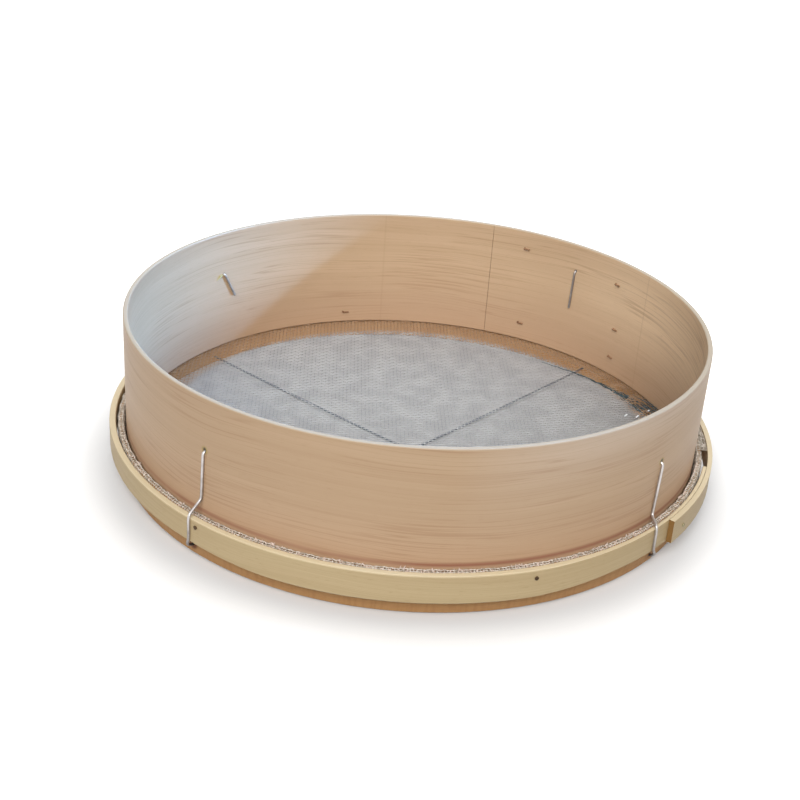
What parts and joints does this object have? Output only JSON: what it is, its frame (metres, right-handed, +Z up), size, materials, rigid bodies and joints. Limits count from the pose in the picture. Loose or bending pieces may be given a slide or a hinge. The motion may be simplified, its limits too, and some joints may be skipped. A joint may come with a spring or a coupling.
{
  "type": "drum sieve",
  "caption": "Round wooden drum sieve: a tall bentwood hoop over a flat wire cloth, clamped by two low wooden rings and tied with bent wires.",
  "frame": {"origin": "centre of the sieve at the level it stands on", "axes": "+Z up out of the open mouth, -Y to the front of the picture, +X to its right"},
  "size_m": [0.4234, 0.4234, 0.1094],
  "materials": {
    "beech": "satin",
    "pale_wood": "satin",
    "brown_wood": "satin",
    "wire_cloth": "satin",
    "tie_wire": "satin",
    "nail": "matte"
  },
  "bodies": {
    "root": {"tall_hoop": "beech", "foot_ring": "brown_wood", "clamp_ring": "pale_wood", "sieve_cloth": "wire_cloth", "cloth_border": "wire_cloth", "tie_wire_front_left_to_back_right": "tie_wire", "tie_wire_front_right_to_back_left": "tie_wire", "hoop_lap_nail": "nail", "clamp_ring_nail": "nail", "clamp_ring_lap_nail": "nail", "foot_ring_lap_nail": "nail"}
  },
  "joints": []
}
